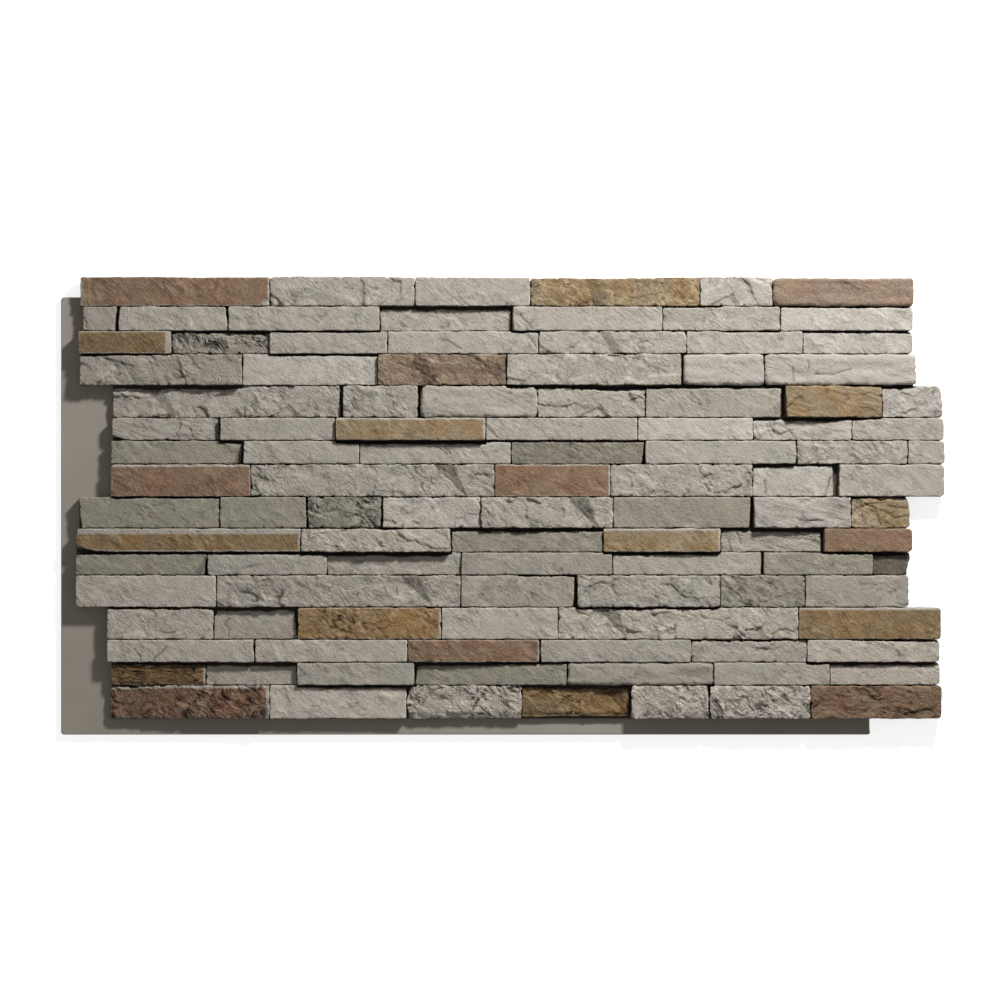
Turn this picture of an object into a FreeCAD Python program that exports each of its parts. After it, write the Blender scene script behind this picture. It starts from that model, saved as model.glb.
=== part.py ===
"""Faux stone wall panel: stacked ledgestone courses moulded in one piece with a flat backing sheet.

The panel lies on its back. X runs along the courses, Y up the wall and Z out of the wall. All sizes are
in millimetres. The sheet shows as a flange along the left and bottom edges. The courses reach past it at
the right and at the top, where a rebate under them laps over the flanges of the next panels.
"""

import FreeCAD
import Part

import os

# Thicknesses and edges of the moulding.
GENERAL_SIZES = {
    "sheet_length": 1134.0,
    "sheet_height": 613.0,
    "sheet_thickness": 10.0,
    "sheet_corner_radius": 4.0,
    "sheet_edge_radius": 1.5,
    "bottom_flange": 23.0,
    "lap_clearance": 0.5,
    "joint_floor": 16.0,
    "root_depth": 2.0,
    "joint_gap": 1.4,
    "draft_angle": 2.5,
    "sawn_arris": 1.2,
    "split_arris": 2.6,
}

# How far a stone's face stands above the back of the sheet.
LEVELS = {
    "recessed": 23.0,
    "low": 27.0,
    "middle": 31.0,
    "high": 34.0,
    "proud": 38.0,
    "standout": 42.0,
}

# The courses from the top of the panel down: height, start from the sheet's left edge, and the stones from
# left to right. A stone is its length, the level of its face and its finish; a stone whose face slopes
# along the course has the levels of its left and right ends joined by a dash.
COURSES = [
    (42.0, 28.0, [(266.0, "low-high", "sawn"), (202.5, "high", "split"), (161.5, "high", "sawn"),
                  (236.5, "high", "split"), (101.5, "high", "split"), (198.0, "high", "split")]),
    (34.5, 32.0, [(49.0, "low", "sawn"), (154.5, "middle", "sawn"), (212.0, "high", "sawn"),
                  (183.5, "recessed", "sawn"), (211.5, "high", "sawn"), (164.5, "middle-high", "split"),
                  (186.0, "middle", "sawn")]),
    (32.0, 26.5, [(130.0, "proud", "sawn"), (136.5, "low", "split"), (165.0, "middle", "sawn"),
                  (211.5, "middle", "sawn"), (206.5, "high", "split"), (162.5, "middle", "sawn"),
                  (154.5, "low", "sawn")]),
    (44.0, 28.0, [(227.0, "high-proud", "split"), (189.5, "low", "sawn"), (180.0, "high", "split"),
                  (246.5, "proud", "split"), (113.5, "proud", "split"), (212.0, "proud", "split")]),
    (45.0, 73.5, [(322.0, "recessed-low", "split"), (105.5, "high", "split"), (166.5, "high", "split"),
                  (151.0, "middle", "split"), (192.5, "middle", "sawn"), (138.0, "standout-high", "sawn"),
                  (86.0, "middle", "split")]),
    (32.0, 73.0, [(151.0, "middle-low", "sawn"), (161.5, "high", "sawn"), (210.0, "standout", "sawn"),
                  (212.0, "high", "sawn"), (161.5, "high", "sawn"), (138.0, "low-middle", "sawn"),
                  (129.0, "middle", "sawn")]),
    (33.0, 71.5, [(185.0, "middle-low", "sawn"), (162.5, "high", "split"), (212.0, "middle", "sawn"),
                  (187.0, "middle", "sawn"), (211.5, "high", "sawn"), (155.5, "middle", "sawn"),
                  (52.0, "high", "sawn")]),
    (45.5, 71.5, [(195.5, "high", "sawn"), (341.0, "high", "split"), (161.5, "high", "sawn"),
                  (199.0, "high", "split"), (117.0, "low", "sawn"), (151.0, "high", "sawn")]),
    (44.0, 26.5, [(197.5, "middle", "sawn"), (122.5, "high", "sawn"), (105.0, "proud-high", "split"),
                  (137.0, "proud", "split"), (185.0, "proud", "split"), (194.0, "high", "sawn"),
                  (138.5, "standout-high", "sawn"), (83.5, "middle", "split")]),
    (33.5, 22.5, [(315.0, "proud", "split"), (210.0, "standout", "split"), (212.0, "low-middle", "sawn"),
                  (164.0, "proud", "sawn"), (140.5, "low", "sawn"), (127.5, "proud", "sawn")]),
    (32.0, 22.5, [(184.0, "high", "sawn"), (167.5, "high", "split"), (187.0, "low", "sawn"),
                  (211.5, "high", "sawn"), (210.5, "middle", "sawn"), (153.5, "high", "sawn"),
                  (54.0, "low", "split")]),
    (45.0, 22.5, [(196.5, "high", "sawn"), (341.5, "high", "split"), (160.5, "high-middle", "sawn"),
                  (201.5, "proud", "split"), (119.0, "high", "split"), (145.5, "high", "split")]),
    (45.0, 66.0, [(149.0, "middle", "split"), (117.5, "recessed", "sawn"), (201.0, "high", "split"),
                  (163.0, "high", "sawn"), (336.0, "high", "split"), (199.0, "high-proud", "sawn")]),
    (32.0, 66.0, [(207.0, "high", "sawn"), (213.5, "high", "sawn"), (185.5, "high", "sawn"),
                  (210.5, "high", "sawn"), (161.5, "middle", "split"), (186.0, "high", "sawn")]),
    (32.0, 71.5, [(132.5, "low", "split"), (127.5, "recessed", "sawn"), (164.5, "high", "sawn"),
                  (213.0, "recessed-middle", "sawn"), (205.0, "high", "split"), (162.5, "middle", "sawn"),
                  (154.5, "low", "sawn")]),
    (47.0, 70.0, [(223.5, "recessed-high", "split"), (191.0, "low", "sawn"), (161.5, "low", "split"),
                  (152.5, "recessed", "split"), (110.0, "proud", "split"), (140.5, "proud", "split"),
                  (183.5, "proud", "split")]),
]

UP = FreeCAD.Vector(0, 0, 1)
ALONG_COURSE = FreeCAD.Vector(1, 0, 0)
DOWN_WALL = FreeCAD.Vector(0, -1, 0)
QUARTER_TURN = 90

doc = FreeCAD.newDocument("StoneWallPanel")
sheet = doc.addObject("Spreadsheet::Sheet", "Sizes")


def add_size(alias, value):
    """Writes one driving dimension into the next row of the sheet."""
    add_size.row += 1
    sheet.set(f"A{add_size.row}", alias)
    sheet.set(f"B{add_size.row}", str(value))
    sheet.setAlias(f"B{add_size.row}", alias)


add_size.row = 0


def bind(feature, **formulas):
    """Binds properties of a feature to the sheet; a double underscore stands for a dot."""
    for name, formula in formulas.items():
        feature.setExpression(name.replace("__", "."), formula)


def fill_sheet():
    """Puts every driving dimension into the sheet."""
    for alias, value in GENERAL_SIZES.items():
        add_size(alias, value)
    for level, value in LEVELS.items():
        add_size(f"{level}_level", value)
    for course, (height, start, stones) in enumerate(COURSES, 1):
        add_size(f"course_{course}_height", height)
        add_size(f"course_{course}_start", start)
        for place, (length, _, _) in enumerate(stones, 1):
            add_size(f"stone_{course}_{place}_length", length)


def backing_sheet():
    """The flat sheet, with the corners and the front edges of its two flanges rounded."""
    blank = doc.addObject("Part::Box", "SheetBlank")
    bind(blank, Length="Sizes.sheet_length", Width="Sizes.sheet_height", Height="Sizes.sheet_thickness")
    doc.recompute()
    centre = blank.Shape.BoundBox.Center
    rounds = []
    for number, edge in enumerate(blank.Shape.Edges, 1):
        middle = edge.CenterOfMass
        upright = abs(edge.tangentAt(edge.FirstParameter).dot(UP)) > 0.5
        left, bottom = middle.x < centre.x, middle.y < centre.y
        if upright and (left or bottom):
            rounds.append((number, sheet.sheet_corner_radius))
        on_flange = left != (abs(middle.x - centre.x) < abs(middle.y - centre.y)) or bottom
        if not upright and middle.z > centre.z and on_flange:
            rounds.append((number, sheet.sheet_edge_radius))
    rounded = doc.addObject("Part::Fillet", "RoundedSheet")
    rounded.Base = blank
    rounded.Edges = [(number, radius, radius) for number, radius in rounds]
    return rounded


def course_slabs():
    """One slab for each course, from the sheet's face to the floor of the joints. The bottom one is first."""
    slabs = {}
    below = None
    for course in range(len(COURSES), 0, -1):
        slab = doc.addObject("Part::Box", f"Slab_{course}")
        lengths = [f"Sizes.stone_{course}_{n}_length" for n in range(1, len(COURSES[course - 1][2]) + 1)]
        base = f"{below.Name}.Placement.Base.y + {below.Name}.Width" if below else "Sizes.bottom_flange"
        bind(
            slab,
            Length=" + ".join(lengths),
            Width=f"Sizes.course_{course}_height",
            Height="Sizes.joint_floor - Sizes.sheet_thickness",
            Placement__Base__x=f"Sizes.course_{course}_start",
            Placement__Base__z="Sizes.sheet_thickness",
            Placement__Base__y=base,
        )
        slabs[course] = slab
        below = slab
    return slabs


def split_block(course, place, left_block, slab, levels):
    """A tapered block on its slab, split off along the plane of the stone's face."""
    length = f"Sizes.stone_{course}_{place}_length"
    block = doc.addObject("Part::Wedge", f"Block_{course}_{place}")
    block.Placement = FreeCAD.Placement(FreeCAD.Vector(), FreeCAD.Rotation(ALONG_COURSE, QUARTER_TURN))
    inset = "tan(Sizes.draft_angle * 1 deg) * Ymax"
    left = f"{slab.Name}.Placement.Base.x"
    if left_block:
        left = f"{left_block.Name}.Placement.Base.x + Sizes.stone_{course}_{place - 1}_length * 1 mm"
    bind(
        block,
        Ymax="Sizes.standout_level - Sizes.joint_floor + Sizes.root_depth * 2",
        Xmin="Sizes.joint_gap / 2",
        Xmax=f"{length} - Sizes.joint_gap / 2",
        Zmin="Sizes.joint_gap / 2",
        Zmax=f"Sizes.course_{course}_height - Sizes.joint_gap / 2",
        X2min=f"Xmin + {inset}",
        X2max=f"Xmax - {inset}",
        Z2min=f"Zmin + {inset}",
        Z2max=f"Zmax - {inset}",
        Placement__Base__x=left,
        Placement__Base__y=f"{slab.Name}.Placement.Base.y + {slab.Name}.Width",
        Placement__Base__z="Sizes.joint_floor - Sizes.root_depth",
    )
    left_level, right_level = [f"Sizes.{level}_level" for level in (levels[0], levels[-1])]
    waste = doc.addObject("Part::Box", f"Waste_{course}_{place}")
    waste.Placement = FreeCAD.Placement(FreeCAD.Vector(), FreeCAD.Rotation(DOWN_WALL, QUARTER_TURN))
    angle = f"atan(({right_level} - {left_level}) / {length})"
    reach = "Sizes.standout_level"
    bind(
        waste,
        Length=f"{length} + 2 * {reach}",
        Width=f"{slab.Name}.Width",
        Height=reach,
        Placement__Rotation__Angle=angle,
        Placement__Base__x=f"{block.Name}.Placement.Base.x - {reach} * cos({angle}) * 1 mm",
        Placement__Base__y=f"{slab.Name}.Placement.Base.y",
        Placement__Base__z=f"{left_level} - {reach} * sin({angle})",
    )
    split = doc.addObject("Part::Cut", f"Split_{course}_{place}")
    split.Base = block
    split.Tool = waste
    return block, split


def break_arrises(split, arris):
    """Chamfers the edges round the face of a split block."""
    face = max(split.Shape.Faces, key=lambda f: f.CenterOfMass.z)
    stone = doc.addObject("Part::Chamfer", split.Name.replace("Split", "Stone"))
    stone.Base = split
    stone.Edges = [
        (number, arris, arris)
        for number, edge in enumerate(split.Shape.Edges, 1)
        if any(edge.isSame(side) for side in face.Edges)
    ]
    return stone


def stones(slabs):
    """Every stone of every course, laid from left to right."""
    laid = []
    for course, (_, _, row) in enumerate(COURSES, 1):
        block = None
        for place, (_, level, finish) in enumerate(row, 1):
            block, split = split_block(course, place, block, slabs[course], level.split("-"))
            laid.append((split, finish))
    doc.recompute()
    arrises = {"sawn": sheet.sawn_arris, "split": sheet.split_arris}
    return [break_arrises(split, arrises[finish]) for split, finish in laid]


def lap_rebates():
    """The spaces at the right and at the top that take the flanges of the next panels."""
    rebates = []
    for name, x, y in (("RightRebate", "Sizes.sheet_length", "0"), ("TopRebate", "0", "Sizes.sheet_height")):
        rebate = doc.addObject("Part::Box", name)
        bind(
            rebate,
            Length="2 * Sizes.sheet_length",
            Width="2 * Sizes.sheet_height",
            Height="Sizes.sheet_thickness + Sizes.lap_clearance",
            Placement__Base__x=x,
            Placement__Base__y=y,
        )
        rebates.append(rebate)
    return rebates


def build():
    """Joins the sheet, the slabs and the stones into the one moulding and cuts its laps."""
    fill_sheet()
    doc.recompute()
    slabs = course_slabs()
    moulding = doc.addObject("Part::MultiFuse", "Moulding")
    moulding.Shapes = [backing_sheet(), *slabs.values(), *stones(slabs)]
    moulding.Refine = True
    laps = doc.addObject("Part::MultiFuse", "Laps")
    laps.Shapes = lap_rebates()
    panel = doc.addObject("Part::Cut", "Panel")
    panel.Label = "stone_panel"
    panel.Base = moulding
    panel.Tool = laps
    doc.recompute()
    right = max(slab.Placement.Base.x + slab.Length.Value for slab in slabs.values())
    top = slabs[1].Placement.Base.y + slabs[1].Width.Value
    panel.Placement.Base = FreeCAD.Vector(-right / 2, -top / 2, 0)
    doc.recompute()
    return panel


def export(panel):
    """Checks the document and the solid, then writes the node's file."""
    failed = [obj.Name for obj in doc.Objects if {"Invalid", "Error"} & set(obj.State)]
    if failed:
        raise RuntimeError(f"these features failed: {failed}")
    shape = panel.Shape
    if shape.isNull() or not shape.isValid() or len(shape.Solids) != 1:
        raise RuntimeError("the panel isn't one valid solid")
    os.makedirs("parts", exist_ok=True)
    shape.exportStep(os.path.join("parts", f"{panel.Label}.step"))
    box = shape.optimalBoundingBox(False, False)
    print(f"{panel.Label}: {box.XLength:.1f} x {box.YLength:.1f} x {box.ZLength:.1f} mm, "
          f"{shape.Volume / 1e6:.3f} litres, {len(shape.Faces)} faces")


export(build())
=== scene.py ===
"""Looks of the faux stone wall panel: relief and sprayed paint of every ledgestone, and the bare flange.

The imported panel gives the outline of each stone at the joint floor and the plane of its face. Each stone is
carved here as a fine grid over that outline, and the stones of a course are one piece. The backing sheet and
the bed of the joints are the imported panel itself, sliced off at the joint floor. Sizes are in millimetres,
apart from those of the lamp, the camera and the floor, which are in metres.
"""

import math

import bmesh
import bpy
import numpy as np
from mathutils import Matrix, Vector


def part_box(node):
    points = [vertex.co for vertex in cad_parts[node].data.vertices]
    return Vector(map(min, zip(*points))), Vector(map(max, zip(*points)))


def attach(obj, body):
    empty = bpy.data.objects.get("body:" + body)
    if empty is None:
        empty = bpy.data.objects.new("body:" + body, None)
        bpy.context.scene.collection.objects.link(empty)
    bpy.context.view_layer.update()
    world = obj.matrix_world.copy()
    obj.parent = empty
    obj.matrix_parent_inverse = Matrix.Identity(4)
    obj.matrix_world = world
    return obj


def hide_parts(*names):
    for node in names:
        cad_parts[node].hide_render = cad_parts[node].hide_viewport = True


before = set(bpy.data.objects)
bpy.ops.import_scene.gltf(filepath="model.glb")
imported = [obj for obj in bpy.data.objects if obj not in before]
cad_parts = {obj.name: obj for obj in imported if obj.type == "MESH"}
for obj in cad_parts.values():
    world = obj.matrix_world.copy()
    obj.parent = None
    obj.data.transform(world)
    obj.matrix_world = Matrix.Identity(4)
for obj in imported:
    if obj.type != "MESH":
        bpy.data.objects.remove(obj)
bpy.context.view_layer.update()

MM = 0.001
NODE = "stone_panel"

# The grid of a stone: its pitch, its lines near an edge, and how far up the wall each of those lines is.
PITCH = 1.45
EDGE_STEPS = (0.0, 0.0, 0.0, 0.5, 1.4)
WALL_STEPS = (0.0, 0.55, 1.0, 1.0, 1.0)

# Walls of the stones: their draft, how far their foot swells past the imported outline, how far above the laps'
# underside they end, and how far from an edge its waver and its cuts still move the face.
WALL_SLOPE = math.tan(math.radians(1.0))
SWELL = 0.45
ABOVE_LAP = 0.1
EDGE_REACH = 6.0

# Faces of the stones: the least height above the joint floor, the share of a face that lies under its packed
# plane in percent, and how unevenly the marks are spread.
LOWEST_FACE = 3.0
SHARE_UNDER_PLANE = 90
PATCHINESS = 0.9

# Edges of the stones: the fall of a rounded arris as a share of its radius, the arris and the corner at a
# course's right end, and how much an outer edge wavers where one in a joint wavers by 1.
ARRIS_FALL = 0.8
END_ARRIS = 5.0
END_CORNER = 5.0
OUTER_WAVER = 0.55

# Nicks in the edges: how far in they reach, how deep they are and how far they eat into the wall.
NICK_BAND = 4.0
NICK_DEPTH = 3.0
NICK_BITE = 1.2

# A joint opens beside a higher stone: by how much for each millimetre that it stands higher, from what rise
# on, and how wide at the most.
JOINT_SHARES = {"top": 0.55, "right": 0.42}
LEAST_RISE = 1.5
WIDEST_OPENING = 5.2

# Single cracks: how far their lips are from the middle, and their depth. And the depth from which a hollow's
# painted shade is full, or it is fully bare.
CRACK_WIDTH = 1.7
CRACK_DEPTH = 1.8
FULL_HOLLOW = 0.6

# Paint, in millimetres of relief that would look the same: painted shade on the walls in a joint, the mottling
# of walls, and the rubbed edges, which also paint a highlight where the light catches the arris, with their
# width at the top, where that painted highlight is widest, and elsewhere. And how far into a bare hollow the
# colour has gone.
JOINT_PAINTED_SHADE = 1.6
WALL_MOTTLE = 0.4
RUBBED_EDGE_AND_HIGHLIGHT = 0.5
RUBBED_AND_HIGHLIGHT_WIDTHS = (2.4, 1.6)
BARE_HOLLOW = 9.0

# The imported panel: the upward part of the normal from which a face counts as level, and as a stone's face,
# how far above the joint floor the outlines are read, how far below it the sheet is sliced off, how far in
# the sides of the overhanging beds move, and how far below the joint floor the painted shade of the joint bed
# begins.
LEVEL = 0.99999
FACING_UP = 0.99
READ_ABOVE_FLOOR = 0.5
SLICE_BELOW_FLOOR = 0.1
TUCK = 6.0
BED_DEPTH = 1.0

# Directions of the marks. Tool marks run from the upper left to the lower right.
TOOL_ANGLE = math.radians(-38)
CLEFT_ANGLE = math.radians(-16)
RIVEN_ANGLE = math.radians(-12)
WORN_ANGLE = math.radians(-20)

# Refraction of a dried acrylic film.
ACRYLIC_IOR = 1.47

# The lamp, the fill all round and the camera, in metres. The middle face is the height of most stones' faces.
LAMP_PLACE = Vector((0.79, 1.44, 1.32))
LAMP_SIDE = 0.26
FILL = 0.24
MIDDLE_FACE = 0.034
CAMERA_DISTANCE = 6.0
FRAME_CENTRE = (-0.0032, 0.0081)
FRAME_WIDTH = 1.396
FLOOR_REACH = 20.0
FLOOR_GLOW = 0.75


# Paint on the moulded foam: the tone that stays in hollows and also paints shade in joints and cracks, the
# face, patches on it, and dry-brushed spots that also paint highlights on edges.
PAINTS = {
    "warm_grey": ("#5A5549", "#9D958A", "#989388", "#B7AFA3"),
    "mid_grey": ("#544F44", "#948C81", "#908A7E", "#ACA498"),
    "pale_grey": ("#655F54", "#A19990", "#9D968D", "#BBB4AA"),
    "sand_grey": ("#625C50", "#A89F93", "#A49D90", "#C2B9AC"),
    "light_grey": ("#6A655A", "#A9A298", "#A59F95", "#C2BBB1"),
    "chalk_grey": ("#67615A", "#A49E95", "#A19C92", "#C0BAB1"),
    "shell_grey": ("#6B6459", "#B3A99D", "#AEA599", "#CDC4B8"),
    "green_grey": ("#4C493D", "#898275", "#847F71", "#A19B8D"),
    "slate_grey": ("#433E37", "#776F63", "#726E62", "#938B7E"),
    "dark_slate": ("#2C2823", "#5D5448", "#5A5347", "#776F61"),
    "faded_ochre": ("#453A29", "#8A7C65", "#8C7553", "#B1A28A"),
    "ochre": ("#4F402D", "#817057", "#866C48", "#A79578"),
    "amber": ("#4A3823", "#83694A", "#8C6939", "#A88F6F"),
    "brown_ochre": ("#443523", "#746045", "#7E603A", "#9C8868"),
    "dark_ochre": ("#33261A", "#6C583D", "#6C5237", "#978160"),
    "umber": ("#2E2114", "#6A5234", "#674C2C", "#957C58"),
    "faded_terracotta": ("#4A3A2E", "#796757", "#806A53", "#A08E7E"),
    "terracotta": ("#443325", "#76604B", "#7A5B46", "#9A816B"),
    "red_brown": ("#32241B", "#705746", "#77533D", "#987D69"),
}

# The courses from the top down, and the stones of each from left to right: paint and dressing of the face.
LOOKS = [
    ["terracotta sawn", "warm_grey hewn", "warm_grey sawn", "ochre split", "pale_grey hewn",
     "faded_terracotta pillow"],
    ["mid_grey sawn", "warm_grey sawn", "warm_grey sawn", "warm_grey sawn", "warm_grey sawn",
     "warm_grey hewn", "chalk_grey sawn"],
    ["dark_ochre sawn", "mid_grey rock", "warm_grey sawn", "warm_grey sawn", "warm_grey hewn",
     "warm_grey sawn", "pale_grey sawn"],
    ["mid_grey split", "light_grey sawn", "faded_terracotta split", "warm_grey hewn", "pale_grey pillow",
     "pale_grey pillow"],
    ["warm_grey split", "warm_grey split", "warm_grey pillow", "warm_grey hewn", "mid_grey sawn",
     "ochre cleft", "pale_grey split"],
    ["warm_grey cleft", "warm_grey sawn", "ochre sawn", "warm_grey sawn", "light_grey sawn",
     "light_grey cleft", "warm_grey sawn"],
    ["green_grey sawn", "warm_grey sawn", "warm_grey sawn", "slate_grey sawn", "warm_grey sawn",
     "warm_grey split", "warm_grey sawn"],
    ["terracotta sawn", "warm_grey split", "terracotta sawn", "warm_grey split", "chalk_grey sawn",
     "warm_grey sawn"],
    ["green_grey sawn", "green_grey sawn", "green_grey rock", "light_grey hewn", "warm_grey split",
     "green_grey sawn", "pale_grey cleft", "faded_ochre hewn"],
    ["brown_ochre sawn", "sand_grey split", "green_grey sawn", "ochre sawn", "warm_grey cleft",
     "terracotta sawn"],
    ["green_grey sawn", "warm_grey sawn", "warm_grey sawn", "mid_grey sawn", "warm_grey sawn",
     "green_grey sawn", "dark_slate sawn"],
    ["sand_grey sawn", "warm_grey split", "mid_grey sawn", "warm_grey split", "green_grey split",
     "mid_grey sawn"],
    ["sand_grey hewn", "warm_grey sawn", "amber split", "sand_grey sawn", "sand_grey split",
     "brown_ochre sawn"],
    ["sand_grey sawn", "sand_grey sawn", "terracotta sawn", "warm_grey sawn", "warm_grey hewn",
     "sand_grey sawn"],
    ["umber riven", "warm_grey sawn", "warm_grey sawn", "green_grey sawn", "mid_grey pillow",
     "warm_grey sawn", "sand_grey sawn"],
    ["red_brown rock", "shell_grey sawn", "shell_grey rock", "brown_ochre split", "shell_grey rock",
     "shell_grey rock", "terracotta riven"],
]


# Edges cut back from a stone's outline, by course, stone and side: places along the side, and the cut there.
TRIMS = {
    (1, 1, "top"): [(0, 0.5), (90, 0), (180, 1), (266, 0.6)],
    (1, 2, "top"): [(0, 1.6), (12, 0), (150, 0), (202, 1.2)],
    (1, 3, "top"): [(0, 0.8), (161, 1.4)],
    (1, 4, "top"): [(0, 2.4), (60, 2), (100, 2.8), (236, 1)],
    (1, 5, "top"): [(0, 0.4), (80, 0.6), (101, 2.6)],
    (1, 6, "top"): [(0, 3.5), (14, 1.6), (100, 2.4), (130, 3), (198, 1.6)],
    (2, 1, "right"): [(0, 3.4), (34, 1.5)],
    (2, 2, "left"): [(0, 0.5), (34, 3)],
    (2, 2, "right"): [(0, 0), (34, 4)],
    (2, 5, "left"): [(0, 2.5), (34, 2)],
    (4, 4, "right"): [(0, 2), (44, 3)],
    (5, 1, "right"): [(0, 3), (45, 5)],
    (5, 3, "left"): [(0, 3), (45, 5)],
    (5, 4, "top"): [(0, 3), (50, 3.5), (90, 7.5), (125, 8), (145, 4.5), (151, 5.5)],
    (5, 5, "right"): [(0, 4), (45, 2)],
    (5, 6, "left"): [(0, 5), (45, 2.5)],
    (5, 7, "right"): [(0, 0), (20, 0.6), (45, 5)],
    (6, 1, "bottom"): [(0, 7.5), (12, 4), (26, 0.4), (151, 0)],
    (6, 1, "right"): [(0, 0.5), (32, 2)],
    (6, 6, "top"): [(0, 4.5), (133, 0.5)],
    (7, 1, "right"): [(0, 4), (33, 0.5)],
    (7, 4, "right"): [(0, 5), (33, 0.5)],
    (8, 5, "top"): [(0, 5), (52, 4.5), (57, 1), (116, 0.5)],
    (8, 5, "right"): [(0, 5), (20, 4.5), (45, 6)],
    (8, 6, "left"): [(0, 2.5), (45, 4)],
    (9, 1, "left"): [(0, 4), (44, 0)],
    (9, 2, "right"): [(0, 0.5), (44, 2.4)],
    (9, 3, "right"): [(0, 3), (44, 1)],
    (9, 6, "right"): [(0, 4), (44, 1.5)],
    (9, 7, "left"): [(0, 3), (44, 1.5)],
    (9, 8, "right"): [(0, 0), (20, 0.5), (44, 4)],
    (10, 1, "left"): [(0, 3), (10, 0), (33, 3)],
    (10, 1, "bottom"): [(0, 11), (14, 5), (28, 1), (60, 0)],
    (10, 2, "top"): [(0, 0.5), (100, 0.5), (118, 3), (142, 1), (210, 0)],
    (10, 2, "right"): [(0, 0), (33, 3)],
    (10, 6, "left"): [(0, 4), (33, 4)],
    (11, 1, "top"): [(0, 4), (60, 2), (184, 0)],
    (11, 1, "right"): [(0, 4), (32, 0)],
    (11, 5, "right"): [(0, 3), (32, 3)],
    (11, 7, "right"): [(0, 7), (32, 0)],
    (12, 3, "right"): [(0, 3), (45, 1)],
    (12, 4, "left"): [(0, 2.5), (45, 2)],
    (13, 2, "right"): [(0, 1), (45, 5)],
    (13, 2, "left"): [(0, 0), (34, 0.5), (38, 4), (45, 5)],
    (14, 1, "right"): [(0, 0), (32, 3)],
    (14, 3, "right"): [(0, 1.6), (32, 1.6)],
    (15, 4, "left"): [(0, 1), (32, 4)],
    (16, 1, "bottom"): [(0, 0.5), (223, 0)],
    (16, 3, "left"): [(0, 3), (25, 0), (40, 3), (47, 8)],
    (16, 4, "bottom"): [(0, 2.5), (152, 3.5)],
    (16, 4, "right"): [(0, 4), (47, 2)],
    (16, 5, "right"): [(0, 1), (47, 3.5)],
}

# Broken hollows, by course and stone. Each is how deep it gets, how much painted shade lies on the wall that
# faces away from the light (-1 where the colour is off instead), and the lines that it falls away from: two
# points on the stone, from its lower left corner, and the slope on the right of that line.
DENTS = {
    (1, 1): [(4.0, -1.0, [(247, -1, 268, 17, 1.2)])],
    (1, 2): [(3.0, 0.6, [(-2, 20, 12, 8, 1.0)])],
    (1, 4): [(2.5, 0.45, [(92, 44, 104, -2, 0.16), (38, -1, 66, 44, 0.3)])],
    (1, 5): [(2.6, 0.6, [(46, 19, 57, -1, 0.4), (20, 5, 46, 19, 1.2)])],
    (3, 5): [(2.6, 0.5, [(98, 34, 118, -2, 0.2), (62, -2, 82, 34, 0.9)])],
    (4, 1): [(2.4, 0.5, [(28, 42, 66, 30, 0.9), (90, 4, 20, 8, 0.12), (24, -1, 26, 46, 0.3),
                         (86, 46, 74, -1, 0.15)]),
             (1.8, 0.6, [(134, 46, 152, -1, 0.9), (110, -1, 118, 46, 0.06)])],
    (4, 3): [(3.5, 0.45, [(62, 46, 86, -2, 0.2), (22, 10, 40, 46, 0.25)]),
             (3.0, 0.5, [(170, 12, 70, 16, 0.3), (70, -3, 66, 14, 0.5)])],
    (5, 1): [(2.6, 0.5, [(246, 19, 268, -1, 0.4), (228, 7, 246, 19, 1.2)]),
             (3.0, 0.4, [(66, 46, 92, -1, 0.2), (22, 46, 60, -1, -0.16)])],
    (5, 4): [(2.6, 0.6, [(87, 18, 104, -1, 0.4), (68, 7, 87, 18, 1.2)])],
    (6, 1): [(5.0, 0.5, [(141, -1, 137, 33, 0.45)])],
    (7, 1): [(5.0, 0.5, [(171, -1, 182, 33, 0.6)])],
    (8, 2): [(5.0, 0.9, [(284, 47, 303, -1, 0.19), (310, -3, 240, -3, 0.12), (250, -1, 254, 47, 1.4)])],
    (9, 4): [(4.5, 0.7, [(54, 6, 12, 26, 0.45), (0, -3, 6, 30, 0.45)])],
    (9, 5): [(5.0, 0.9, [(148, 46, 166, -1, 0.19), (172, -3, 103, -3, 0.12), (113, -1, 117, 46, 1.4)])],
    (11, 1): [(5.0, 0.5, [(164, -1, 184, 33, 0.5)])],
    (12, 2): [(5.0, 0.9, [(284, 47, 303, -1, 0.19), (310, -3, 240, -3, 0.12), (250, -1, 254, 47, 1.4)])],
    (13, 5): [(5.0, 0.8, [(82, 47, 98, -1, 0.19), (104, -3, 20, -3, 0.12), (26, -1, 48, 47, 1.2)]),
              (2.6, 0.6, [(281, 17, 298, -1, 0.4), (254, 6, 281, 17, 1.2)])],
    (16, 3): [(5.0, 0.0, [(-2, 9, 164, 9, 0.6)])],
    (16, 4): [(3.5, 0.0, [(-2, 7, 154, 7, 0.6)]),
              (5.0, 0.8, [(138, 49, 152, -1, 0.19), (158, -3, 90, 2, 0.12), (95, -1, 99, 49, 1.2)])],
}

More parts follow.
